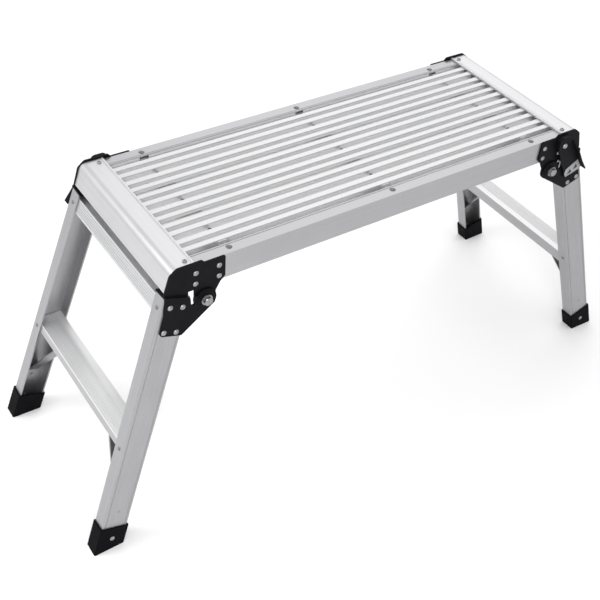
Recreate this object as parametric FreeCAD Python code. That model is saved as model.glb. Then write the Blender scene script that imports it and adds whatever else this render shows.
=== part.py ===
import FreeCAD, Part
import math
import os

# Folding aluminium work platform, open and standing on its four feet.
# X runs along the deck, Y across it, Z up.  The ground is Z = 0 and the origin
# lies under the middle of the deck.  All sizes are millimetres.

# ---- driving dimensions -------------------------------------------------
DECK_HEIGHT = 500.0        # top of the side rails and of the plank ribs
FRAME_WIDTH = 300.0        # outer face to outer face of the side rails
RAIL_HALF_LENGTH = 386.0
RAIL_DEPTH = 43.0
RAIL_FLANGE = 21.5
RAIL_WALL = 2.8
CHAMBER_DEPTH = 10.0       # hollow box along the top of each rail
RAIL_FOOT_WIDTH = 14.0
STATION_X = 297.0          # outer crossmember stations, either side of the middle one
STATION_Y = 138.0          # rail rivets across the deck

PLANK_HALF_LENGTH = 358.6
PLANK_PITCH = 82.5
PLANK_DEPTH = 10.0
PLANK_WALL = 2.0
PLANK_FLOOR = 3.0
PLANK_RIBS = ((-35.5, -25.25), (-16.75, -5.75), (5.75, 16.75), (25.25, 35.5))
PLANK_LEDGE_Y = 45.5       # a ledge along the back edge meets the next plank
RIB_EDGE_RADIUS = 1.1
TONGUE_END = 374.0         # the planks' flat base runs on under the end caps

CLIP_WIDTH = 14.0
CLIP_THICKNESS = 1.5
CLIP_HEIGHT = 8.8
NOTCH_WIDTH = 16.0         # opening in the rail's top box beside each crossmember

CROSS_WIDTH = 30.0
CROSS_DEPTH = 22.0
CROSS_WALL = 2.0

CAP_LIP_X = 359.0
CAP_WALL = 2.5
CAP_TOE_X = 408.6
CAP_TOE_Z = 467.0
CAP_NOSE_RADIUS = 14.0
CAP_SCREW_X = 369.5
CAP_SCREW_Y = 139.0

PLATE_THICKNESS = 3.0
SPLAY = 18.5               # leg angle from the vertical, along the deck
FLARE = 3.6                # leg angle from the vertical, across the deck
PIVOT_X = 345.0
PIVOT_Z = 436.0
BOLT_RADIUS = 4.0
BORE_CLEARANCE = 0.05
LOBE_RADIUS = 18.0
MOUTH_TOP_Z = 457.0        # the fixed plate leaves the catch notch open below this
BODY_GAP = 0.4             # air between faces that move past each other

LEG_TOP_X = 389.6          # middle of the top end of a leg's outer face
LEG_TOP_Z = 452.9
LEG_TOP_Y = 154.2
LEG_WIDTH = 45.0
LEG_DEPTH = 24.0
LEG_WALL = 2.5
LEG_LENGTH = 466.0

STEP_TOP_Z = 205.0
STEP_WALL = 2.5
STEP_LIP = 13.0
STEP_APRON = 29.0
STEP_HALF_WIDTH = 167.2
STEP_RIVETS = ((1, 276.5), (-1, 262.0))   # flange, and how far down the leg

BAR_TOP_T = 7.0
BAR_DEPTH = 27.0
BAR_FLANGE = 12.0
BAR_WALL = 2.0
BAR_HALF_WIDTH = 150.4
BAR_RIVET_T = 20.0

FOOT_WALL = 2.6
FOOT_TOP_T = 433.0
FOOT_RIVET_T = 455.5
BRACE_RIVET_T = 400.7
BRACE_RIVET_SHANK = 1.6

FRAME_RIVET_SHANK = 2.0

BRACE_WIDTH = 18.0
BRACE_THICKNESS = 2.5
BRACE_STEP_Y = 84.0
BRACE_LOW_T = 410.0
BRACE_BEND_T = 388.0
BRACE_TOP_T = 268.0

LEVER_PIN_X = 358.8        # the pin takes the place of the plate's upper outer rivet
LEVER_PIN_Z = 486.0
LEVER_PIN_RADIUS = 3.0
LEVER_SHEET = 2.0
LEVER_STANDOFF = 7.4       # the lever's face clears the rivets of both plates

HALF_WIDTH = FRAME_WIDTH / 2
CAP_TOP_Z = DECK_HEIGHT + CAP_WALL
PLANK_BOTTOM_Z = DECK_HEIGHT - PLANK_DEPTH
PLATE_OUT_Y = HALF_WIDTH + PLATE_THICKNESS
SIN_SPLAY = math.sin(math.radians(SPLAY))
COS_SPLAY = math.cos(math.radians(SPLAY))
TAN_FLARE = math.tan(math.radians(FLARE))

LEFT, RIGHT = -1, 1
FRONT, BACK = -1, 1
ENDS = {"left": LEFT, "right": RIGHT}
SIDES = {"front": FRONT, "back": BACK}
LEVER_CORNERS = ((LEFT, BACK), (RIGHT, FRONT))

os.makedirs("parts", exist_ok=True)


# ---- small helpers --------------------------------------------------------
def vec(x, y, z):
    return FreeCAD.Vector(x, y, z)


def box(x0, x1, y0, y1, z0, z1):
    """A block between two values on each axis."""
    return Part.makeBox(x1 - x0, y1 - y0, z1 - z0, vec(x0, y0, z0))


def rod_y(x, y0, y1, z, radius):
    """A round rod along Y."""
    return Part.makeCylinder(radius, y1 - y0, vec(x, y0, z), vec(0, 1, 0))


def rod_z(x, y, z0, z1, radius):
    """A round rod along Z."""
    return Part.makeCylinder(radius, z1 - z0, vec(x, y, z0), vec(0, 0, 1))


def rod_x(x0, x1, y, z, radius):
    """A round rod along X."""
    return Part.makeCylinder(radius, x1 - x0, vec(x0, y, z), vec(1, 0, 0))


def solid_from(points, push):
    """A closed outline pushed out into a solid."""
    wire = Part.makePolygon(points + [points[0]])
    return Part.Face(wire).extrude(push)


def prism_x(yz_points, x0, x1):
    return solid_from([vec(x0, y, z) for y, z in yz_points], vec(x1 - x0, 0, 0))


def prism_y(xz_points, y0, y1):
    return solid_from([vec(x, y0, z) for x, z in xz_points], vec(0, y1 - y0, 0))


def round_edges(shape, radius, keep):
    """Round the edges that the test function picks."""
    edges = [edge for edge in shape.Edges if keep(edge)]
    return shape.makeFillet(radius, edges) if edges else shape


def along_y(edge):
    """True for a straight edge that runs along Y."""
    start = edge.Vertexes[0].Point
    finish = edge.Vertexes[-1].Point
    run = finish - start
    return abs(run.x) < 1e-6 and abs(run.z) < 1e-6 and abs(run.y) > 1e-6


def near_point(edge, x, z, reach):
    """True if a Y edge stands close to a point of the XZ plane."""
    point = edge.Vertexes[0].Point
    return math.hypot(point.x - x, point.z - z) < reach


def mirrored(shape, end, side):
    """The part is drawn for the right end and back side, and mirrored from there."""
    out = shape.copy()
    if end == LEFT:
        out = out.mirror(vec(0, 0, 0), vec(1, 0, 0))
    if side == FRONT:
        out = out.mirror(vec(0, 0, 0), vec(0, 1, 0))
    return out


def every_corner(shape):
    return [mirrored(shape, end, side) for end in ENDS.values() for side in SIDES.values()]


def write(name, shape):
    if isinstance(shape, list):
        shape = Part.makeCompound(shape)
    shape.exportStep("parts/" + name + ".step")


def in_leg(shape):
    """Place a shape drawn on an upright leg (x across, y out, z up from its top)."""
    out = shape.copy()
    out.rotate(vec(0, 0, 0), vec(1, 0, 0), FLARE)
    out.rotate(vec(0, 0, 0), vec(0, 1, 0), -SPLAY)
    out.translate(vec(LEG_TOP_X, LEG_TOP_Y, LEG_TOP_Z))
    return out


def leg_xz(across, down):
    """Deck coordinates of a point of the leg's own plane, with no flare."""
    x = LEG_TOP_X + across * COS_SPLAY + down * SIN_SPLAY
    z = LEG_TOP_Z + across * SIN_SPLAY - down * COS_SPLAY
    return x, z


def leg_point(across, out, down):
    """Deck position of a point given on the upright leg."""
    flare = math.radians(FLARE)
    y = out * math.cos(flare) + down * math.sin(flare)
    drop = down * math.cos(flare) - out * math.sin(flare)
    x, z = leg_xz(across, drop)
    return vec(x, LEG_TOP_Y + y, z)


def leg_outer_y(down):
    """Where the leg's outer face is, this far down from its top."""
    return LEG_TOP_Y + down * TAN_FLARE


def dome_rivet_y(x, z, y_head, grip, shank, head, height):
    """A rivet along Y: a low domed head outside y_head and a formed tail inside."""
    ball = (head ** 2 + height ** 2) / (2 * height)
    dome = Part.makeSphere(ball, vec(x, y_head + height - ball, z))
    dome = dome.common(box(x - head, x + head, y_head, y_head + height, z - head, z + head))
    body = rod_y(x, y_head - grip, y_head, z, shank)
    tail = rod_y(x, y_head - grip - 1.6, y_head - grip, z, shank * 1.45)
    return dome.fuse([body, tail]).removeSplitter()


# ---- deck ------------------------------------------------------------------
DECK_RIVETS = ((321.0, 486.0), (321.0, 466.5), (LEVER_PIN_X, LEVER_PIN_Z), (359.5, 466.5))
DECK_RIVET_SHANK = 2.4


def make_rail():
    """Side rail: web, foot, and a hollow box along the top with a grooved top face."""
    top = DECK_HEIGHT
    foot = DECK_HEIGHT - RAIL_DEPTH
    inner = HALF_WIDTH - RAIL_FLANGE
    web = HALF_WIDTH - RAIL_WALL
    under = top - CHAMBER_DEPTH
    outline = [
        (HALF_WIDTH, foot), (HALF_WIDTH, top), (inner, top), (inner, under),
        (web, under), (web, foot + RAIL_WALL),
        (HALF_WIDTH - RAIL_FOOT_WIDTH, foot + RAIL_WALL), (HALF_WIDTH - RAIL_FOOT_WIDTH, foot),
    ]
    rail = prism_x(outline, -RAIL_HALF_LENGTH, RAIL_HALF_LENGTH)
    chamber = box(-RAIL_HALF_LENGTH, RAIL_HALF_LENGTH, inner + 2.2, web, under + 2.2, top - 2.5)
    groove = box(-RAIL_HALF_LENGTH, RAIL_HALF_LENGTH, inner + 2.4, inner + 3.5, top - 0.8, top)
    cuts = [chamber, groove]
    for x in (-STATION_X, 0.0, STATION_X):
        cuts.append(rod_z(x, STATION_Y, under - 1, top + 1, 2.4))
        cuts.append(box(x - NOTCH_WIDTH / 2, x + NOTCH_WIDTH / 2, inner - 1, inner + 3,
                        under + 1.5, top - 2.0))
    for end in ENDS.values():
        cuts.append(rod_z(end * CAP_SCREW_X, CAP_SCREW_Y, top - 4, top + 1, 2.1))
        for x, z in DECK_RIVETS:
            cuts.append(rod_y(end * x, web - 1, HALF_WIDTH + 1, z, DECK_RIVET_SHANK))
    return rail.cut(cuts)


def plank_outline():
    """A plank's section: a flat base with four hollow ribs, and a ledge at the back edge."""
    top = DECK_HEIGHT
    base = PLANK_BOTTOM_Z
    floor = base + PLANK_FLOOR
    first_rib = PLANK_RIBS[0]
    upper = [(first_rib[0], base)]
    for near, far in PLANK_RIBS:
        if near != first_rib[0]:
            upper.append((near, floor))
        upper += [(near, top), (far, top), (far, floor)]
    upper += [(PLANK_LEDGE_Y, floor), (PLANK_LEDGE_Y, base)]
    lower = []
    for near, far in reversed(PLANK_RIBS):
        inner_far = far - PLANK_WALL
        inner_near = near + PLANK_WALL
        lower += [(inner_far, base), (inner_far, top - PLANK_WALL),
                  (inner_near, top - PLANK_WALL), (inner_near, base)]
    return upper + lower


def make_plank(row):
    """Ribbed plank: hollow ribs with rounded edges, screwed down through its middle valley."""
    plank = prism_x(plank_outline(), -PLANK_HALF_LENGTH, PLANK_HALF_LENGTH)
    rib_edges = [e for e in plank.Edges
                 if e.BoundBox.XLength > 1 and e.BoundBox.ZMin > DECK_HEIGHT - 0.01]
    plank = plank.makeFillet(RIB_EDGE_RADIUS, rib_edges)
    base = box(-TONGUE_END, TONGUE_END, PLANK_RIBS[0][0], PLANK_LEDGE_Y,
               PLANK_BOTTOM_Z, PLANK_BOTTOM_Z + PLANK_FLOOR)
    under_deck = box(-PLANK_HALF_LENGTH, PLANK_HALF_LENGTH, PLANK_RIBS[0][0] - 1,
                     PLANK_LEDGE_Y + 1, PLANK_BOTTOM_Z - 1, DECK_HEIGHT)
    plank = plank.fuse(base.cut(under_deck).Solids).removeSplitter()
    for x in (-STATION_X, 0.0, STATION_X):
        plank = plank.cut(rod_z(x, 0, PLANK_BOTTOM_Z - 1, DECK_HEIGHT, 2.1))
    plank.translate(vec(0, row * PLANK_PITCH, 0))
    return plank


def make_plank_clip(x):
    """Small angle on a crossmember that holds the front plank's edge in place."""
    wall_y = -PLANK_PITCH + PLANK_RIBS[0][0] - 0.3
    rail_y = -HALF_WIDTH + RAIL_FLANGE + 0.5
    half = CLIP_WIDTH / 2
    upright = box(x - half, x + half, wall_y - CLIP_THICKNESS, wall_y,
                  PLANK_BOTTOM_Z, PLANK_BOTTOM_Z + CLIP_HEIGHT)
    foot = box(x - half, x + half, rail_y, wall_y, PLANK_BOTTOM_Z, PLANK_BOTTOM_Z + CLIP_THICKNESS)
    return upright.fuse(foot).removeSplitter()


def make_cross_member(x):
    """Rectangular tube across the deck, under the planks."""
    reach = HALF_WIDTH - RAIL_WALL
    top = PLANK_BOTTOM_Z
    low = top - CROSS_DEPTH
    half = CROSS_WIDTH / 2
    tube = box(x - half, x + half, -reach, reach, low, top)
    inside = box(x - half + CROSS_WALL, x + half - CROSS_WALL, -reach, reach,
                 low + CROSS_WALL, top - CROSS_WALL)
    holes = [rod_z(x, y, top - 3, top + 1, 2.4) for y in (-STATION_Y, STATION_Y)]
    holes += [rod_z(x, row * PLANK_PITCH, top - 3, top + 1, 2.1) for row in (-1, 0, 1)]
    return tube.cut([inside] + holes)


def cap_outline(inset):
    """Corner points of the bullnose: flat top, then a face that leans like the legs."""
    lean = SIN_SPLAY / COS_SPLAY
    z_top = CAP_TOP_Z - inset
    toe_x = CAP_TOE_X - inset / COS_SPLAY
    corner_x = toe_x - (z_top - CAP_TOE_Z) * lean
    return z_top, corner_x, toe_x


def make_end_cap():
    """Bullnose end cap extrusion with a lip, a fine groove and a turned-in toe."""
    z_out, corner_out, toe_out = cap_outline(0.0)
    z_in, corner_in, toe_in = cap_outline(CAP_WALL)
    outer = prism_y([(CAP_LIP_X, z_in), (CAP_LIP_X, z_out), (corner_out, z_out),
                     (toe_out, CAP_TOE_Z), (CAP_LIP_X, CAP_TOE_Z)], -HALF_WIDTH, HALF_WIDTH)
    outer = round_edges(outer, CAP_NOSE_RADIUS,
                        lambda e: along_y(e) and near_point(e, corner_out, z_out, 0.01))
    inner = prism_y([(CAP_LIP_X - 1, CAP_TOE_Z - 1), (CAP_LIP_X - 1, z_in), (corner_in, z_in),
                     (toe_in + (1 * SIN_SPLAY / COS_SPLAY), CAP_TOE_Z - 1)],
                    -HALF_WIDTH - 1, HALF_WIDTH + 1)
    inner = round_edges(inner, CAP_NOSE_RADIUS - CAP_WALL,
                        lambda e: along_y(e) and near_point(e, corner_in, z_in, 0.01))
    shell = outer.cut(inner)
    lip = box(CAP_LIP_X, CAP_LIP_X + 2.5, -HALF_WIDTH, HALF_WIDTH, z_out, z_out + 0.7)
    toe = box(CAP_TOE_X - 13, CAP_TOE_X - 2, -HALF_WIDTH, HALF_WIDTH, CAP_TOE_Z, CAP_TOE_Z + 2)
    cap = shell.fuse([lip, toe]).removeSplitter()
    cuts = [box(CAP_LIP_X + 4, CAP_LIP_X + 4.8, -HALF_WIDTH, HALF_WIDTH, z_out - 0.4, z_out + 1)]
    cuts += [rod_z(CAP_SCREW_X, side * CAP_SCREW_Y, z_in - 1, z_out + 1, 2.1)
             for side in (-1, 1)]
    return cap.cut(cuts)


def deck_plate_outline():
    """The fixed hinge plate, from its inner end over the bullnose and down to the pivot."""
    tab_gap = PLATE_THICKNESS + BODY_GAP
    outer_low = leg_xz(23.5, -tab_gap)
    inner_low = leg_xz(-17.5, -tab_gap)
    mouth_x = PIVOT_X + LOBE_RADIUS
    return [(311.0, 500.5), (344.0, 500.5), (349.0, 505.5), (389.0, 505.5), (401.0, 496.0),
            outer_low, inner_low, (inner_low[0], MOUTH_TOP_Z), (mouth_x - 1, MOUTH_TOP_Z),
            (mouth_x - 1, PIVOT_Z), (PIVOT_X - LOBE_RADIUS, PIVOT_Z),
            (PIVOT_X - LOBE_RADIUS, PIVOT_Z + 6), (319.0, 456.5), (311.0, 464.0)]


def make_deck_plate():
    """Steel plate on the rail's outer face that carries one pivot."""
    plate = prism_y(deck_plate_outline(), HALF_WIDTH, PLATE_OUT_Y)
    for x, z, radius in ((389.0, 505.5, 9.0), (401.0, 496.0, 9.0), (311.0, 500.5, 2.0),
                         (344.0, 500.5, 3.0), (349.0, 505.5, 3.0)):
        plate = round_edges(plate, radius,
                            lambda e, x=x, z=z: along_y(e) and near_point(e, x, z, 0.01))
    plate = plate.fuse(rod_y(PIVOT_X, HALF_WIDTH, PLATE_OUT_Y, PIVOT_Z, LOBE_RADIUS))
    cuts = [rod_y(PIVOT_X, HALF_WIDTH - 1, PLATE_OUT_Y + 1, PIVOT_Z, BOLT_RADIUS)]
    cuts += [rod_y(x, HALF_WIDTH - 1, PLATE_OUT_Y + 1, z, DECK_RIVET_SHANK)
             for x, z in DECK_RIVETS]
    return plate.removeSplitter().cut(cuts)


def make_pan_screw(x, y, z_seat, length, head):
    """A small pan head screw along Z, with a cross recess."""
    dome = rod_z(x, y, z_seat, z_seat + 2.2, head)
    dome = dome.makeFillet(1.2, [e for e in dome.Edges if e.BoundBox.ZMin > z_seat + 2.1])
    slot_a = box(x - head * 0.55, x + head * 0.55, y - 0.5, y + 0.5, z_seat + 1.1, z_seat + 3)
    slot_b = box(x - 0.5, x + 0.5, y - head * 0.55, y + head * 0.55, z_seat + 1.1, z_seat + 3)
    return dome.cut([slot_a, slot_b]).fuse(rod_z(x, y, z_seat - length, z_seat, 2.1))


def make_rail_rivet(x, y):
    """A domed rivet down through the rail's top box and the crossmember's top wall."""
    head, height = 5.0, 2.0
    ball = (head ** 2 + height ** 2) / (2 * height)
    dome = Part.makeSphere(ball, vec(x, y, DECK_HEIGHT + height - ball))
    dome = dome.common(box(x - head, x + head, y - head, y + head,
                           DECK_HEIGHT, DECK_HEIGHT + height))
    low = PLANK_BOTTOM_Z - CROSS_WALL
    shank = rod_z(x, y, low, DECK_HEIGHT, 2.4)
    tail = rod_z(x, y, low - 2, low, 3.4)
    return dome.fuse([shank, tail]).removeSplitter()


# ---- hinge hardware ----------------------------------------------------------
WASHER_Y = LEG_TOP_Y + PLATE_THICKNESS + 1.9
WASHER_THICKNESS = 1.5


def hexagon(x, z, y0, y1, across_flats):
    """A hexagonal block along Y."""
    corner = across_flats / math.sqrt(3)
    points = [(x + corner * math.cos(math.radians(60 * k)),
               z + corner * math.sin(math.radians(60 * k))) for k in range(6)]
    return prism_y(points, y0, y1)


def make_pivot_bolt():
    head_y = WASHER_Y + WASHER_THICKNESS
    head = hexagon(PIVOT_X, PIVOT_Z, head_y, head_y + 5.3, 13.0)
    cone = Part.makeCone(12.0, 6.2, 5.8, vec(PIVOT_X, head_y - 0.5, PIVOT_Z), vec(0, 1, 0))
    return head.common(cone).fuse(rod_y(PIVOT_X, 140.5, head_y, PIVOT_Z, BOLT_RADIUS))


def make_pivot_washer():
    disc = rod_y(PIVOT_X, WASHER_Y, WASHER_Y + WASHER_THICKNESS, PIVOT_Z, 9.0)
    return disc.cut(rod_y(PIVOT_X, WASHER_Y - 1, WASHER_Y + 3, PIVOT_Z, BOLT_RADIUS))


def make_pivot_nut():
    nut = hexagon(PIVOT_X, PIVOT_Z, 142.5, HALF_WIDTH, 13.0)
    return nut.cut(rod_y(PIVOT_X, 141, 151, PIVOT_Z, BOLT_RADIUS))


# ---- leg set -------------------------------------------------------------------
LEG_HALF = LEG_WIDTH / 2
LEG_RIVETS = ((10.0, 13.5), (-11.0, 13.5), (9.5, 56.0), (-11.5, 56.0))
CATCH_NOTCH = ((363.4, 480.0), (363.4, 437.0), (364.6, 434.2), (366.8, 433.2), (369.0, 434.2),
               (370.2, 437.0), (370.2, 446.5), (375.2, 453.5), (375.2, 480.0))
PIVOT_ACROSS = (PIVOT_X - LEG_TOP_X) * COS_SPLAY + (PIVOT_Z - LEG_TOP_Z) * SIN_SPLAY
PIVOT_DOWN = (PIVOT_X - LEG_TOP_X) * SIN_SPLAY - (PIVOT_Z - LEG_TOP_Z) * COS_SPLAY


def make_leg():
    """Channel leg, web outside, with two shallow grooves down the web."""
    half = LEG_HALF
    outline = [(-half, 0, -LEG_DEPTH), (-half, 0, 0), (half, 0, 0), (half, 0, -LEG_DEPTH),
               (half - LEG_WALL, 0, -LEG_DEPTH), (half - LEG_WALL, 0, -LEG_WALL),
               (-half + LEG_WALL, 0, -LEG_WALL), (-half + LEG_WALL, 0, -LEG_DEPTH)]
    points = [vec(x, y, -LEG_LENGTH) for x, _, y in outline]
    leg = solid_from(points, vec(0, 0, LEG_LENGTH))
    corners = [e for e in leg.Edges
               if e.BoundBox.ZLength > 1 and abs(abs(e.BoundBox.XMin) - half) < 0.01
               and abs(e.BoundBox.YMin) < 0.01]
    leg = leg.makeFillet(2.0, corners)
    cuts = [box(x - 0.5, x + 0.5, -0.5, 1, -LEG_LENGTH, 0) for x in (-half + 5, half - 5)]
    for across, down in LEG_RIVETS:
        cuts.append(rod_y(across, -LEG_WALL - 1, 1, -down, 2.4))
    for down, radius in ((FOOT_RIVET_T, 2.4), (BRACE_RIVET_T, BRACE_RIVET_SHANK)):
        cuts.append(rod_y(0, -LEG_WALL - 1, 1, -down, radius))
    cuts.append(rod_x(0, half + 1, -LEG_DEPTH / 2, -BAR_RIVET_T, FRAME_RIVET_SHANK))
    for flange, down in STEP_RIVETS:
        x0, x1 = sorted((0.0, flange * (half + 1)))
        cuts.append(rod_x(x0, x1, -LEG_DEPTH / 2, -down, FRAME_RIVET_SHANK))
    return in_leg(leg.cut(cuts))


def make_leg_plate():
    """Moving hinge plate on the leg's outer face, with a tab over the leg's top end."""
    outline = [(LEG_HALF, 0.0), (16.5, 28.0), (15.5, 62.5), (-22.0, 62.5),
               (PIVOT_ACROSS - 17.0, PIVOT_DOWN + 6.0), (PIVOT_ACROSS - 16.5, PIVOT_DOWN - 6.0),
               (PIVOT_ACROSS, PIVOT_DOWN - 16.0), (-31.0, -PLATE_THICKNESS),
               (LEG_HALF, -PLATE_THICKNESS)]
    plate = prism_y([(x, -t) for x, t in outline], 0.0, PLATE_THICKNESS)
    for x, t, radius in ((15.5, 62.5, 6.0), (-22.0, 62.5, 4.0), (16.5, 28.0, 6.0),
                         (PIVOT_ACROSS - 16.5, PIVOT_DOWN - 6.0, 6.0)):
        plate = round_edges(plate, radius,
                            lambda e, x=x, t=t: along_y(e) and near_point(e, x, -t, 0.01))
    boss = rod_y(PIVOT_ACROSS, 0, PLATE_THICKNESS, -PIVOT_DOWN, 17.0)
    raised = rod_y(PIVOT_ACROSS, 0, PLATE_THICKNESS + 0.8, -PIVOT_DOWN, 14.0)
    tab = box(-LEG_HALF + 0.5, LEG_HALF, -LEG_DEPTH - 2, PLATE_THICKNESS, 0, PLATE_THICKNESS)
    plate = plate.fuse([boss, raised, tab]).removeSplitter()
    placed = in_leg(plate.cut([rod_y(a, -1, PLATE_THICKNESS + 1, -t, 2.4) for a, t in LEG_RIVETS]))
    bore = rod_y(PIVOT_X, 145, 170, PIVOT_Z, BOLT_RADIUS + BORE_CLEARANCE)
    notch = prism_y(list(CATCH_NOTCH), 145, 170)
    return placed.cut([bore, notch])


def make_foot():
    """Moulded boot over the leg's lower end, cut off level with the ground."""
    half = LEG_HALF + FOOT_WALL
    block = box(-half, half, -LEG_DEPTH - FOOT_WALL, FOOT_WALL, -LEG_LENGTH - 40, -FOOT_TOP_T)
    rounded = [e for e in block.Edges if e.BoundBox.ZLength > 1]
    block = block.makeFillet(2.5, rounded)
    pocket = box(-LEG_HALF, LEG_HALF, -LEG_DEPTH, 0, -LEG_LENGTH, -FOOT_TOP_T + 1)
    hole = rod_y(0, -1, FOOT_WALL + 1, -FOOT_RIVET_T, 2.4)
    foot = in_leg(block.cut([pocket, hole]))
    return foot.common(box(300, 700, 50, 300, 0.0, 200.0))


def leg_prism(across_down, y0, y1):
    """An extrusion along Y whose section is drawn in the leg's own plane."""
    return prism_y([leg_xz(across, down) for across, down in across_down], y0, y1)


def make_top_bar():
    """Channel between the tops of the two legs, behind their outer flanges."""
    face = LEG_HALF - LEG_WALL
    wall = BAR_WALL
    low = BAR_TOP_T + BAR_DEPTH
    outline = [(face - BAR_FLANGE, BAR_TOP_T), (face, BAR_TOP_T)]
    for k in range(5):
        down = BAR_TOP_T + 4.5 + 4.0 * k
        outline += [(face, down), (face - 0.6, down), (face - 0.6, down + 1.2), (face, down + 1.2)]
    outline += [(face, low), (face - 8.0, low), (face - 8.0, low - wall), (face - wall, low - wall),
                (face - wall, BAR_TOP_T + wall), (face - BAR_FLANGE, BAR_TOP_T + wall)]
    bar = leg_prism(outline, -BAR_HALF_WIDTH, BAR_HALF_WIDTH)
    return cut_flange_rivet_holes(bar, ((1, BAR_RIVET_T),))


def flange_rivet_line(down, direction):
    """Where a rivet enters a leg flange, and the way its shank runs."""
    start = leg_point(direction * LEG_HALF, -LEG_DEPTH / 2, down)
    return start, vec(-direction * COS_SPLAY, 0, -direction * SIN_SPLAY)


def cut_flange_rivet_holes(shape, places):
    """Drill a piece that spans both legs for the rivets through their flanges."""
    for direction, down in places:
        start, axis = flange_rivet_line(down, direction)
        drill = Part.makeCylinder(FRAME_RIVET_SHANK, 9.0, start, axis)
        shape = shape.cut([drill, drill.mirror(vec(0, 0, 0), vec(0, 1, 0))])
    return shape


def make_step():
    """Step tread: ridged level top, rounded front lip and a deeper inner apron."""
    reach = LEG_HALF - LEG_WALL
    centre_down = (LEG_TOP_Z - STEP_TOP_Z) / COS_SPLAY
    lean = SIN_SPLAY / COS_SPLAY

    def at(across, z):
        """X of a line parallel to the leg, at one height."""
        x_centre = LEG_TOP_X + centre_down * SIN_SPLAY + (STEP_TOP_Z - z) * lean
        return x_centre + across / COS_SPLAY

    top, wall = STEP_TOP_Z, STEP_WALL
    lip_low, apron_low = top - STEP_LIP, top - STEP_APRON
    outline = [(at(-reach, top), top)]
    x = at(reach, top) - 3.0
    ridges = []
    for k in range(8):
        ridges += [(x, top), (x, top - 0.7), (x - 1.2, top - 0.7), (x - 1.2, top)]
        x -= 3.6
    outline += ridges[::-1]
    outline += [(at(reach, top), top), (at(reach, lip_low), lip_low),
                (at(reach - wall, lip_low), lip_low), (at(reach - wall, top - wall), top - wall),
                (at(-reach + wall, top - wall), top - wall),
                (at(-reach + wall, apron_low), apron_low), (at(-reach, apron_low), apron_low)]
    step = prism_y(outline, -STEP_HALF_WIDTH, STEP_HALF_WIDTH)
    return cut_flange_rivet_holes(step, STEP_RIVETS)


def make_brace():
    """Bent strap from the inside of the leg's web up to the underside of the step."""
    half = BRACE_WIDTH / 2
    web = LEG_WALL / math.cos(math.radians(FLARE))
    web_low = leg_outer_y(BRACE_LOW_T) - web
    web_bend = leg_outer_y(BRACE_BEND_T) - web
    t = BRACE_THICKNESS
    profile = [(web_low, BRACE_LOW_T), (web_bend, BRACE_BEND_T), (BRACE_STEP_Y, BRACE_TOP_T - 8),
               (BRACE_STEP_Y - 3.2, BRACE_TOP_T - 5), (web_bend - t, BRACE_BEND_T + 1),
               (web_low - t, BRACE_LOW_T)]
    low = [leg_xz(-half, down) for _, down in profile]
    points = [vec(x, y, z) for (x, z), (y, _) in zip(low, profile)]
    strap = solid_from(points, vec(BRACE_WIDTH * COS_SPLAY, 0, BRACE_WIDTH * SIN_SPLAY))
    under = STEP_TOP_Z - STEP_WALL
    x_mid, _ = leg_xz(0, (LEG_TOP_Z - under) / COS_SPLAY)
    strap = strap.common(box(300, 700, 0, 300, 0, under))
    tab = box(x_mid - half, x_mid + half, BRACE_STEP_Y - 24, BRACE_STEP_Y + 4, under - t, under)
    hole = in_leg(rod_y(0, -12, 1, -BRACE_RIVET_T, BRACE_RIVET_SHANK))
    return strap.fuse(tab).removeSplitter().cut(hole)


def rivet_at(start, axis, grip, shank, head, height):
    """A rivet with a low round head at a point, its shank running along an axis."""
    out_axis = vec(-axis.x, -axis.y, -axis.z)
    cap = Part.makeCone(head, head * 0.55, height, start, out_axis)
    stem = Part.makeCylinder(shank, grip, start, axis)
    tail_at = start + axis * grip
    tail = Part.makeCylinder(shank * 1.4, 1.4, tail_at, axis)
    return cap.fuse([stem, tail]).removeSplitter()


def leg_plate_rivets():
    """The four rivets that hold one leg plate to its leg."""
    return [in_leg(dome_rivet_y(across, -down, PLATE_THICKNESS, PLATE_THICKNESS + LEG_WALL,
                                2.4, 4.4, 2.0)) for across, down in LEG_RIVETS]


def foot_rivets():
    """The rivet through the boot, and a smaller one that holds the brace to the web."""
    boot = dome_rivet_y(0, -FOOT_RIVET_T, FOOT_WALL, FOOT_WALL + LEG_WALL, 2.4, 4.2, 1.8)
    strap = dome_rivet_y(0, -BRACE_RIVET_T, 0, LEG_WALL + BRACE_THICKNESS + 0.2,
                         BRACE_RIVET_SHANK, 2.6, 0.9)
    return [in_leg(boot), in_leg(strap)]


def frame_rivets():
    """Rivets through the flanges into the top bar and the step."""
    rivets = []
    places = [(1, BAR_RIVET_T, BAR_WALL)]
    places += [(flange, down, STEP_WALL) for flange, down in STEP_RIVETS]
    for direction, down, inner_wall in places:
        start, axis = flange_rivet_line(down, direction)
        rivets.append(rivet_at(start, axis, LEG_WALL + inner_wall, FRAME_RIVET_SHANK, 3.6, 1.4))
    return rivets


# ---- lock levers ------------------------------------------------------------------
LEVER_IN_Y = PLATE_OUT_Y + BODY_GAP
LEVER_LOW_IN_Y = LEVER_IN_Y + LEVER_STANDOFF
LEVER_OUT_Y = LEVER_LOW_IN_Y + LEVER_SHEET
LEVER_RIGHT_EDGE = ((377.0, 493.0), (405.7, 446.5), (420.5, 426.5))
LEVER_LEFT_EDGE = ((381.0, 412.7), (375.5, 421.5), (371.8, 432.4), (356.5, 459.5), (350.0, 473.0),
                   (346.0, 482.0))
LEVER_TOP = ((346.0, 502.5), (371.0, 502.5))
LEVER_OUTLINE = LEVER_TOP + LEVER_RIGHT_EDGE + LEVER_LEFT_EDGE
LEVER_ROUNDS = ((371.0, 502.5, 9.0), (346.0, 502.5, 9.0))
LEVER_SKIRT_Z = 484.0      # the turned-in walls stop above the hidden rivet
LEVER_GRIP = 9.5           # how far the finger flange stands out along the handle
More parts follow.
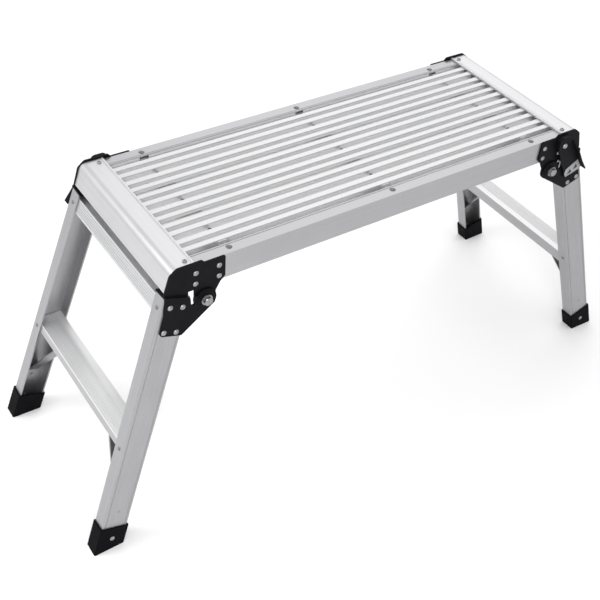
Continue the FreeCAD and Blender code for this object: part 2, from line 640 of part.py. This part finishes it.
LEVER_BADGE = ((376.8, 421.5), (377.5, 431.5), (403.0, 445.5), (416.0, 427.0), (411.5, 422.5),
               (382.0, 414.5))
BADGE_ARROWS = ((384.5, 418.5), (397.0, 425.5))
BADGE_THICKNESS = 0.8


def lever_prism(inset, y0, y1):
    """The lever's outline with its rounded corners, drawn in by a distance, as a prism."""
    outline = Part.makePolygon([vec(x, 0, z) for x, z in LEVER_OUTLINE + LEVER_OUTLINE[:1]])
    face = Part.Face(outline)
    if inset:
        face = face.makeOffset2D(-inset, join=2)
    prism = face.extrude(vec(0, y1 - y0, 0))
    prism.translate(vec(0, y0, 0))
    for x, z, radius in LEVER_ROUNDS:
        near = 0.01 + 2 * inset
        prism = round_edges(prism, radius - inset,
                            lambda e, x=x, z=z: along_y(e) and near_point(e, x, z, near))
    return prism


def make_lever():
    """Pressed lock lever: a cover with a skirt round its pin, and a finger flange."""
    outer = lever_prism(0, LEVER_IN_Y, LEVER_OUT_Y)
    inside = lever_prism(LEVER_SHEET, LEVER_IN_Y - 1, LEVER_LOW_IN_Y)
    below_skirt = box(LEVER_PIN_X - 40, LEVER_PIN_X + 80, LEVER_IN_Y - 1, LEVER_LOW_IN_Y,
                      LEVER_PIN_Z - 100, LEVER_SKIRT_Z)
    cover = outer.cut([inside, below_skirt])
    (top_x, top_z), (bend_x, bend_z), (tip_x, tip_z) = LEVER_RIGHT_EDGE
    flange_line = [(top_x, top_z), (bend_x, bend_z), (tip_x, tip_z)]
    inner_line = [(x - LEVER_SHEET, z - LEVER_SHEET / 2) for x, z in reversed(flange_line)]
    flange = prism_y(flange_line + inner_line, LEVER_LOW_IN_Y, LEVER_OUT_Y + LEVER_GRIP)
    slope = prism_x([(LEVER_OUT_Y, top_z + 4), (LEVER_OUT_Y + LEVER_GRIP + 1, top_z - 22),
                     (LEVER_OUT_Y + LEVER_GRIP + 1, top_z + 4)], top_x - 10, top_x + 40)
    collar = rod_y(LEVER_PIN_X, LEVER_IN_Y, LEVER_LOW_IN_Y + 1, LEVER_PIN_Z, 6.5)
    bore = rod_y(LEVER_PIN_X, 150, 175, LEVER_PIN_Z, LEVER_PIN_RADIUS + BORE_CLEARANCE)
    return cover.fuse([flange.cut(slope), collar]).removeSplitter().cut(bore)


def make_lever_badge():
    """Plain raised badge on the handle, with two arrow shapes cut into it."""
    badge = prism_y(list(LEVER_BADGE), LEVER_OUT_Y, LEVER_OUT_Y + BADGE_THICKNESS)
    cut_y = LEVER_OUT_Y + BADGE_THICKNESS / 2
    arrows = [prism_y([(x, z), (x + 3.6, z + 12.0), (x + 10.0, z + 3.6)], cut_y, cut_y + 2)
              for x, z in BADGE_ARROWS]
    return badge.cut(arrows)


def make_lever_pin():
    """Stud in the deck plate that runs through the lever, with a head in front."""
    collar_y = LEVER_OUT_Y + 0.3
    stud = rod_y(LEVER_PIN_X, PLATE_OUT_Y, collar_y, LEVER_PIN_Z, LEVER_PIN_RADIUS)
    grip_y = HALF_WIDTH - RAIL_WALL
    shank = rod_y(LEVER_PIN_X, grip_y - 1.4, PLATE_OUT_Y, LEVER_PIN_Z, DECK_RIVET_SHANK)
    tail = rod_y(LEVER_PIN_X, grip_y - 1.4, grip_y, LEVER_PIN_Z, DECK_RIVET_SHANK * 1.4)
    head = Part.makeCone(5.0, 3.8, 1.8, vec(LEVER_PIN_X, collar_y, LEVER_PIN_Z), vec(0, 1, 0))
    return stud.fuse([shank, tail, head]).removeSplitter()


# ---- write every node -------------------------------------------------------------
rail = make_rail()
end_cap = make_end_cap()
for side_name, side in SIDES.items():
    write("rail_" + side_name, mirrored(rail, RIGHT, side))
for name, row in (("front", -1), ("middle", 0), ("back", 1)):
    write("plank_" + name, make_plank(row))
for name, x in (("left", -STATION_X), ("middle", 0.0), ("right", STATION_X)):
    write("cross_member_" + name, make_cross_member(x))

deck_plate = make_deck_plate()
leg = make_leg()
leg_plate = make_leg_plate()
foot = make_foot()
brace = make_brace()
step = make_step()
top_bar = make_top_bar()
for end_name, end in ENDS.items():
    write("end_cap_" + end_name, mirrored(end_cap, end, BACK))
    write("step_" + end_name, mirrored(step, end, BACK))
    write("top_bar_" + end_name, mirrored(top_bar, end, BACK))
    for side_name, side in SIDES.items():
        corner = end_name + "_" + side_name
        write("deck_plate_" + corner, mirrored(deck_plate, end, side))
        write("leg_" + corner, mirrored(leg, end, side))
        write("leg_plate_" + corner, mirrored(leg_plate, end, side))
        write("foot_" + corner, mirrored(foot, end, side))
        write("brace_" + corner, mirrored(brace, end, side))
    for group, rivets in (("leg_plate_rivets_", leg_plate_rivets()),
                          ("frame_rivets_", frame_rivets()), ("foot_rivets_", foot_rivets())):
        write(group + end_name, [mirrored(r, end, side) for side in SIDES.values()
                                 for r in rivets])

plate_rivet_grip = PLATE_THICKNESS + RAIL_WALL
deck_rivets = []
for end in ENDS.values():
    for side in SIDES.values():
        for x, z in DECK_RIVETS:
            pinned = (end, side) in LEVER_CORNERS and (x, z) == (LEVER_PIN_X, LEVER_PIN_Z)
            if not pinned:
                rivet = dome_rivet_y(x, z, PLATE_OUT_Y, plate_rivet_grip, DECK_RIVET_SHANK, 4.4, 2.0)
                deck_rivets.append(mirrored(rivet, end, side))
write("deck_plate_rivets", deck_rivets)
write("plank_clips", [make_plank_clip(x) for x in (-STATION_X, 0.0, STATION_X)])
write("rail_rivets", [make_rail_rivet(x, side * STATION_Y)
                      for x in (-STATION_X, 0.0, STATION_X) for side in SIDES.values()])
write("plank_screws", [make_pan_screw(x, row * PLANK_PITCH, PLANK_BOTTOM_Z + PLANK_FLOOR, 8.0, 3.6)
                       for x in (-STATION_X, 0.0, STATION_X) for row in (-1, 0, 1)])
write("end_cap_screws", every_corner(
    make_pan_screw(CAP_SCREW_X, CAP_SCREW_Y, CAP_TOP_Z, 6.3, 3.6)))
write("pivot_bolts", every_corner(make_pivot_bolt()))
write("pivot_washers", every_corner(make_pivot_washer()))
write("pivot_nuts", every_corner(make_pivot_nut()))
write("lever_pins", [mirrored(make_lever_pin(), end, side) for end, side in LEVER_CORNERS])
for name, (end, side) in zip(("left", "right"), LEVER_CORNERS):
    write("lock_lever_" + name, mirrored(make_lever(), end, side))
    write("lever_badge_" + name, mirrored(make_lever_badge(), end, side))
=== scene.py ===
import math

import bpy
from mathutils import Matrix, Vector


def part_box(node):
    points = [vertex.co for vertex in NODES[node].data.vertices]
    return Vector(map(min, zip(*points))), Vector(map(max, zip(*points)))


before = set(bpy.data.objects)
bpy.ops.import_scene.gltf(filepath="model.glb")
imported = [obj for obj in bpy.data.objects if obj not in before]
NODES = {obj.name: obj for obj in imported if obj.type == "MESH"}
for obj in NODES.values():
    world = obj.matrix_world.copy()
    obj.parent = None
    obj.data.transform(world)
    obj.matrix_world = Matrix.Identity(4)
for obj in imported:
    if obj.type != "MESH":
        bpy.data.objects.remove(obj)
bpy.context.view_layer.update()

MM = 0.001

# The legs lean this much along the deck, and grain on them runs the same way.
LEG_SPLAY = math.radians(18.5)


# ---- node helpers -----------------------------------------------------------------
class Shader:
    """A material's node tree, with short calls for the nodes used here."""

    def __init__(self, name):
        self.material = bpy.data.materials.new(name)
        self.material.use_nodes = True
        self.tree = self.material.node_tree
        self.bsdf = self.tree.nodes["Principled BSDF"]
        self.coords = self.tree.nodes.new("ShaderNodeTexCoord").outputs["Object"]

    def node(self, kind, **settings):
        made = self.tree.nodes.new(kind)
        for key, value in settings.items():
            setattr(made, key, value)
        return made

    def link(self, source, target):
        self.tree.links.new(source, target)

    def mapped(self, scale, rotation=(0.0, 0.0, 0.0)):
        """Object coordinates turned, then scaled; a small scale draws marks out long."""
        turn = self.node("ShaderNodeMapping", vector_type="TEXTURE")
        turn.inputs["Rotation"].default_value = rotation
        self.link(self.coords, turn.inputs["Vector"])
        stretch = self.node("ShaderNodeMapping", vector_type="POINT")
        stretch.inputs["Scale"].default_value = scale
        self.link(turn.outputs["Vector"], stretch.inputs["Vector"])
        return stretch.outputs["Vector"]

    def noise(self, vector, scale=1.0, detail=4.0, roughness=0.5, distortion=0.0):
        made = self.node("ShaderNodeTexNoise")
        made.inputs["Scale"].default_value = scale
        made.inputs["Detail"].default_value = detail
        made.inputs["Roughness"].default_value = roughness
        made.inputs["Distortion"].default_value = distortion
        self.link(vector, made.inputs["Vector"])
        return made.outputs["Fac"]

    def remap(self, value, from_min, from_max, to_min, to_max):
        made = self.node("ShaderNodeMapRange")
        for key, number in zip(("From Min", "From Max", "To Min", "To Max"),
                               (from_min, from_max, to_min, to_max)):
            made.inputs[key].default_value = number
        self.link(value, made.inputs["Value"])
        return made.outputs["Result"]

    def math(self, operation, a, b):
        made = self.node("ShaderNodeMath", operation=operation)
        for socket, value in zip(made.inputs, (a, b)):
            if isinstance(value, (int, float)):
                socket.default_value = value
            else:
                self.link(value, socket)
        return made.outputs["Value"]

    def blend(self, factor, dark, light):
        """A colour between two, by a factor."""
        made = self.node("ShaderNodeMix", data_type="RGBA")
        self.link(factor, made.inputs["Factor"])
        for socket, value in ((made.inputs["A"], dark), (made.inputs["B"], light)):
            if isinstance(value, tuple):
                socket.default_value = (*value, 1.0)
            else:
                self.link(value, socket)
        return made.outputs["Result"]

    def bump(self, height, strength, distance, under=None):
        made = self.node("ShaderNodeBump")
        made.inputs["Strength"].default_value = strength
        made.inputs["Distance"].default_value = distance
        self.link(height, made.inputs["Height"])
        if under is not None:
            self.link(under, made.inputs["Normal"])
        return made.outputs["Normal"]

    def set(self, **values):
        for key, value in values.items():
            socket = self.bsdf.inputs[key.replace("_", " ")]
            if isinstance(value, (int, float)):
                socket.default_value = value
            elif isinstance(value, tuple):
                socket.default_value = (*value, 1.0)
            else:
                self.link(value, socket)


# ---- materials ----------------------------------------------------------------------
def grain_scale(axis, along, across):
    """Texture scale for grain that is drawn out along one axis."""
    return tuple(along if letter == axis else across for letter in "XYZ")


# Tones set by place, so that the object looks right under this one light. They are not
# different finishes of the real metal.
# Painted light: a lighter tone for the deck's valleys and the rails' inner faces than for the
# faces above and outside them.
PAINTED_HOLLOW_LIGHT = (0.78, 0.78, 0.785)
# Painted shade for the low walls of the end caps.
SHADE_TONE = (0.05, 0.05, 0.055)

# Heights and distances at which a piece's tone changes, each at a face of the CAD or just inside.
DECK_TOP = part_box("rail_back")[1][2]
RIB_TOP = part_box("plank_middle")[1][2] - 0.8 * MM
WEB_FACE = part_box("rail_back")[1][1] - 0.5 * MM
CAP_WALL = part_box("end_cap_right")[0][0] + 0.3 * MM
STEP_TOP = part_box("step_left")[1][2] - 1.2 * MM
BADGE_FACE = max(abs(corner[1]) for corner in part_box("lever_badge_left"))

# Each change is spread over one of these distances.
TOP_FADE = 1.2 * MM
WEB_FADE = 0.5 * MM
WALL_FADE = 0.3 * MM
LOW_FADE = 0.4 * MM


def aluminium(name, tone, axis, rotation=(0.0, 0.0, 0.0), rough=0.36, metal=0.85,
              main_tone_above=None, main_tone_outside=None, shaded_inside=None, painted_hollow_tone=PAINTED_HOLLOW_LIGHT):
    """Satin anodised extrusion: die lines along its length, cloudy sheen, light scratches.

    Faces above a given height, or further out across the deck than a given distance, keep the
    main tone, and those below and inside take a painted tone: painted light in the deck's valleys
    and on the rails' inner faces, painted shade in the steps' grooves. The low wall of an end
    cap, nearer the middle than a given distance, is painted dark as painted shade.
    """
    s = Shader(name)
    lines = s.noise(s.mapped(grain_scale(axis, 6.0, 1900.0), rotation), detail=3.0)
    bands = s.noise(s.mapped(grain_scale(axis, 1.2, 160.0), rotation), detail=2.0)
    cloud = s.noise(s.mapped((9.0, 9.0, 9.0)), detail=5.0, roughness=0.6)
    scratch = s.noise(s.mapped(grain_scale(axis, 45.0, 700.0), rotation), detail=6.0,
                      roughness=0.75, distortion=0.4)
    scratch = s.remap(scratch, 0.66, 0.72, 0.0, 1.0)    # only the peaks of the noise
    mixed = s.math("ADD", s.math("MULTIPLY", lines, 0.35), s.math("MULTIPLY", bands, 0.35))
    mixed = s.math("ADD", mixed, s.math("MULTIPLY", cloud, 0.3))
    dark = tuple(c * 0.86 for c in tone)
    light = tuple(min(1.0, c * 1.08) for c in tone)
    colour = s.blend(s.remap(mixed, 0.3, 0.7, 0.0, 1.0), dark, light)
    scraped = tuple(min(1.0, c * 1.25) for c in tone)
    colour = s.blend(s.math("MULTIPLY", scratch, 0.35), colour, scraped)
    place = s.node("ShaderNodeSeparateXYZ")
    s.link(s.coords, place.inputs["Vector"])
    # Painted tone below the height and inside the distance: painted light when it is lighter than
    # the main tone, painted shade when it is darker.
    if main_tone_above is not None:
        main_tone_mask = s.remap(place.outputs["Z"], main_tone_above - TOP_FADE, main_tone_above, 0.0, 1.0)
        if main_tone_outside is not None:
            out = s.math("ABSOLUTE", place.outputs["Y"], 0.0)
            out = s.remap(out, main_tone_outside - WEB_FADE, main_tone_outside, 0.0, 1.0)
            main_tone_mask = s.math("MAXIMUM", main_tone_mask, out)
        colour = s.blend(main_tone_mask, painted_hollow_tone, colour)
    # Painted shade on the end cap's low wall, in the gap between cap and planks.
    if shaded_inside is not None:
        along = s.math("ABSOLUTE", place.outputs["X"], 0.0)
        along = s.remap(along, shaded_inside, shaded_inside + WALL_FADE, 1.0, 0.0)
        low = s.remap(place.outputs["Z"], DECK_TOP - LOW_FADE, DECK_TOP, 1.0, 0.0)
        colour = s.blend(s.math("MULTIPLY", along, low), colour, SHADE_TONE)
    roughness = s.remap(mixed, 0.3, 0.7, rough - 0.07, rough + 0.09)
    s.set(Base_Color=colour, Roughness=roughness, Metallic=metal,
          Normal=s.bump(lines, 0.10, 0.0004, s.bump(bands, 0.06, 0.002)))
    return s.material


def powder_coat(name, tone=(0.004, 0.004, 0.0052)):
    """Black powder coat: orange peel, a soft sheen and dust."""
    s = Shader(name)
    peel = s.noise(s.mapped((620.0, 620.0, 620.0)), detail=2.0)
    fine = s.noise(s.mapped((2600.0, 2600.0, 2600.0)), detail=2.0)
    cloud = s.noise(s.mapped((26.0, 26.0, 26.0)), detail=5.0)
    colour = s.blend(s.remap(cloud, 0.35, 0.7, 0.0, 1.0), tone, tuple(c * 1.9 for c in tone))
    s.set(Base_Color=colour, Roughness=s.remap(cloud, 0.3, 0.7, 0.42, 0.58),
          Specular_IOR_Level=0.06,
          Normal=s.bump(peel, 0.25, 0.0004, s.bump(fine, 0.2, 0.0001)))
    return s.material


def rubber(name, tone=(0.0035, 0.0035, 0.0044)):
    """Moulded black rubber with a fine matt skin and pale scuffs."""
    s = Shader(name)
    skin = s.noise(s.mapped((1500.0, 1500.0, 1500.0)), detail=3.0)
    cloud = s.noise(s.mapped((32.0, 32.0, 32.0)), detail=6.0, roughness=0.65)
    colour = s.blend(s.remap(cloud, 0.45, 0.8, 0.0, 1.0), tone, tuple(c * 2.2 for c in tone))
    s.set(Base_Color=colour, Roughness=s.remap(cloud, 0.3, 0.75, 0.5, 0.75),
          Specular_IOR_Level=0.03, Normal=s.bump(skin, 0.3, 0.0002))
    return s.material


def zinc(name, tone=(0.36, 0.36, 0.36)):
    """Zinc plated steel with a patchy bright finish."""
    s = Shader(name)
    patch = s.noise(s.mapped((240.0, 240.0, 240.0)), detail=4.0)
    fine = s.noise(s.mapped((1800.0, 1800.0, 1800.0)), detail=3.0)
    colour = s.blend(s.remap(patch, 0.35, 0.68, 0.0, 1.0), tuple(c * 0.7 for c in tone), tone)
    s.set(Base_Color=colour, Roughness=s.remap(patch, 0.3, 0.7, 0.28, 0.48), Metallic=0.9,
          Normal=s.bump(fine, 0.2, 0.0002))
    return s.material


def badge_plastic(name, tone=(0.30, 0.31, 0.32)):
    """Grey moulded badge with a fine grain."""
    s = Shader(name)
    fine = s.noise(s.mapped((900.0, 900.0, 900.0)), detail=4.0)
    cloud = s.noise(s.mapped((60.0, 60.0, 60.0)), detail=4.0)
    colour = s.blend(s.remap(cloud, 0.3, 0.7, 0.0, 1.0), tuple(c * 0.8 for c in tone), tone)
    place = s.node("ShaderNodeSeparateXYZ")
    s.link(s.coords, place.inputs["Vector"])
    raised = s.math("ABSOLUTE", place.outputs["Y"], 0.0)
    raised = s.remap(raised, BADGE_FACE - 0.3 * MM, BADGE_FACE - 0.1 * MM, 0.0, 1.0)
    colour = s.blend(raised, tuple(c * 0.05 for c in tone), colour)
    s.set(Base_Color=colour, Roughness=s.remap(fine, 0.3, 0.7, 0.42, 0.6),
          Normal=s.bump(fine, 0.25, 0.0002))
    return s.material


# The deck's valleys and the rails' inner faces take painted light, lighter than the rib tops and
# the rails' outer faces.
deck_alu = aluminium("alu_deck", (0.55, 0.55, 0.555), "X", main_tone_above=RIB_TOP)
rail_alu = aluminium("alu_rail", (0.395, 0.395, 0.405), "X", main_tone_above=RIB_TOP,
                     main_tone_outside=WEB_FACE)
# The end caps' low walls near the middle take painted shade.
cap_alu = aluminium("alu_end_cap", (0.585, 0.585, 0.595), "Y", rough=0.42,
                    shaded_inside=CAP_WALL)
# Two copies of one step finish, in painted light and shade: the left step painted lighter where
# the deck shades it, the right one painted darker under the panel's light. The grooves below the
# step tops take painted shade.
step_alu_painted_light_and_shade = {"left": aluminium("alu_step_left_painted_light", (0.84, 0.84, 0.845), "Y",
                              main_tone_above=STEP_TOP, painted_hollow_tone=(0.42, 0.42, 0.43)),
            "right": aluminium("alu_step_right_painted_shade", (0.62, 0.62, 0.625), "Y",
                               main_tone_above=STEP_TOP, painted_hollow_tone=(0.40, 0.40, 0.41))}
# The top bar's tone is raised, as painted light on a bar that lies in shade.
bar_alu = aluminium("alu_top_bar", (0.60, 0.60, 0.61), "Y")
# The braces' tone is lowered, as painted shade.
brace_alu = aluminium("alu_brace", (0.26, 0.26, 0.27), "Z")
GREY_ALU = (0.37, 0.37, 0.38)
cross_alu = aluminium("alu_cross", GREY_ALU, "Y")
leg_alu = {"left": aluminium("alu_leg_left", GREY_ALU, "Z", (0.0, LEG_SPLAY, 0.0)),
           "right": aluminium("alu_leg_right", GREY_ALU, "Z", (0.0, -LEG_SPLAY, 0.0))}
black = powder_coat("black_powder_coat")
boot = rubber("rubber_boot")
bright_zinc = zinc("zinc_steel")
# A darker zinc, as painted shade on the frame and rail rivets and the plank screws.
zinc_painted_darker = zinc("zinc_painted_shade", (0.22, 0.22, 0.22))
badge = badge_plastic("badge_grey")


def material_for(node):
    """The finish of a CAD node, from its name."""
    end = "left" if "left" in node else "right"
    if node.startswith(("frame_rivets", "rail_rivets", "plank_screws")):
        return zinc_painted_darker
    if node.startswith(("deck_plate_rivets", "leg_plate_rivets", "foot_rivets", "end_cap_screws",
                        "pivot_", "lever_pins")):
        return bright_zinc
    if node.startswith(("deck_plate", "leg_plate", "lock_lever")):
        return black
    if node.startswith("foot_"):
        return boot
    if node.startswith("lever_badge"):
        return badge
    if node.startswith("leg_"):
        return leg_alu[end]
    if node.startswith("plank_"):
        return deck_alu
    if node.startswith("rail_"):
        return rail_alu
    if node.startswith("end_cap_"):
        return cap_alu
    if node.startswith("step_"):
        return step_alu_painted_light_and_shade[end]
    if node.startswith("top_bar_"):
        return bar_alu
    if node.startswith("brace_"):
        return brace_alu
    return cross_alu


BEVELS_MM = {"rail_": 0.7, "plank_": 0.5, "end_cap_": 0.6, "leg_": 0.8, "step_": 0.7,
             "top_bar_": 0.6, "deck_plate": 0.7, "lock_lever": 0.9, "foot_": 1.2, "brace_": 0.4}


def soften(node):
    """A small bevel, so that edges catch the light."""
    if "rivets" in node or "screws" in node:
        return
    for prefix, width in BEVELS_MM.items():
        if node.startswith(prefix):
            bevel = NODES[node].modifiers.new("edge", "BEVEL")
            bevel.width = width * MM
            bevel.segments = 2
            bevel.limit_method = "ANGLE"
            bevel.angle_limit = math.radians(35)
            bevel.harden_normals = False
            return


for name, piece in NODES.items():
    piece.data.materials.clear()
    piece.data.materials.append(material_for(name))
    soften(name)


# ---- floor, light and camera ------------------------------------------------------------
FLOOR_REACH = 12.0


def make_floor():
    """A plain white floor, level with the boots."""
    r = FLOOR_REACH
    mesh = bpy.data.meshes.new("floor")
    mesh.from_pydata([(-r, -r, 0), (r, -r, 0), (r, r, 0), (-r, r, 0)], [], [(0, 1, 2, 3)])
    floor = bpy.data.objects.new("floor", mesh)
    bpy.context.scene.collection.objects.link(floor)
    paint = Shader("floor_white")
    paint.set(Base_Color=(0.93, 0.93, 0.93), Roughness=0.9)
    floor.data.materials.append(paint.material)


def area_light(name, place, aim, size, power):
    """A soft white rectangular light, turned towards its aim."""
    lamp = bpy.data.lights.new(name, "AREA")
    lamp.shape = "RECTANGLE"
    lamp.size, lamp.size_y = size
    lamp.energy = power
    holder = bpy.data.objects.new(name, lamp)
    holder.location = place
    holder.rotation_euler = (Vector(aim) - Vector(place)).to_track_quat("-Z", "Y").to_euler()
    bpy.context.scene.collection.objects.link(holder)


def make_world(strength):
    """Even white light from all round."""
    world = bpy.data.worlds.new("studio")
    world.use_nodes = True
    world.node_tree.nodes["Background"].inputs["Color"].default_value = (1.0, 1.0, 1.0, 1.0)
    world.node_tree.nodes["Background"].inputs["Strength"].default_value = strength
    bpy.context.scene.world = world


CAMERA_PLACE = (-0.88621, -1.11494, 1.41183)
CAMERA_AZIMUTH = math.radians(-37.12)
CAMERA_ELEVATION = math.radians(41.41)
CAMERA_ROLL = math.radians(5.13)
FOCAL_RATIO = 1.6866       # focal length over the sensor's width
LENS_SHIFT = (-0.01297, 0.00068)
SENSOR = 36.0


def make_camera():
    """The camera stands at the left front corner, above the deck, tipped a little."""
    back = Vector((math.sin(CAMERA_AZIMUTH) * math.cos(CAMERA_ELEVATION),
                   -math.cos(CAMERA_AZIMUTH) * math.cos(CAMERA_ELEVATION),
                   math.sin(CAMERA_ELEVATION)))
    right = (-back).cross(Vector((0, 0, 1))).normalized()
    up = right.cross(-back)
    rolled_right = right * math.cos(CAMERA_ROLL) + up * math.sin(CAMERA_ROLL)
    rolled_up = -right * math.sin(CAMERA_ROLL) + up * math.cos(CAMERA_ROLL)
    data = bpy.data.cameras.new("camera")
    data.sensor_width = SENSOR
    data.lens = SENSOR * FOCAL_RATIO
    data.shift_x, data.shift_y = LENS_SHIFT
    camera = bpy.data.objects.new("camera", data)
    axes = Matrix((rolled_right, rolled_up, back)).transposed()
    camera.matrix_world = Matrix.Translation(CAMERA_PLACE) @ axes.to_4x4()
    bpy.context.scene.collection.objects.link(camera)
    bpy.context.scene.camera = camera


WORLD_STRENGTH = 0.88
# Each light's name, place, aim, size in metres and power in watts. The panel is mirrored in the
# flat tops; the other two brighten the floor that the webs and the left end mirror.
LIGHTS = (("panel", (2.0, 2.2, 2.9), (0.1, 0, 0.5), (3.2, 2.6), 30),
          ("fill", (-1.0, -1.7, 1.5), (-0.1, -0.75, 0.0), (0.9, 0.9), 19),
          ("side", (-1.7, 0.6, 1.6), (-0.75, 0.4, 0.0), (1.0, 1.0), 15))

make_floor()
make_world(WORLD_STRENGTH)
for light in LIGHTS:
    area_light(*light)
make_camera()

scene = bpy.context.scene
scene.view_settings.view_transform = "Standard"
scene.view_settings.look = "None"
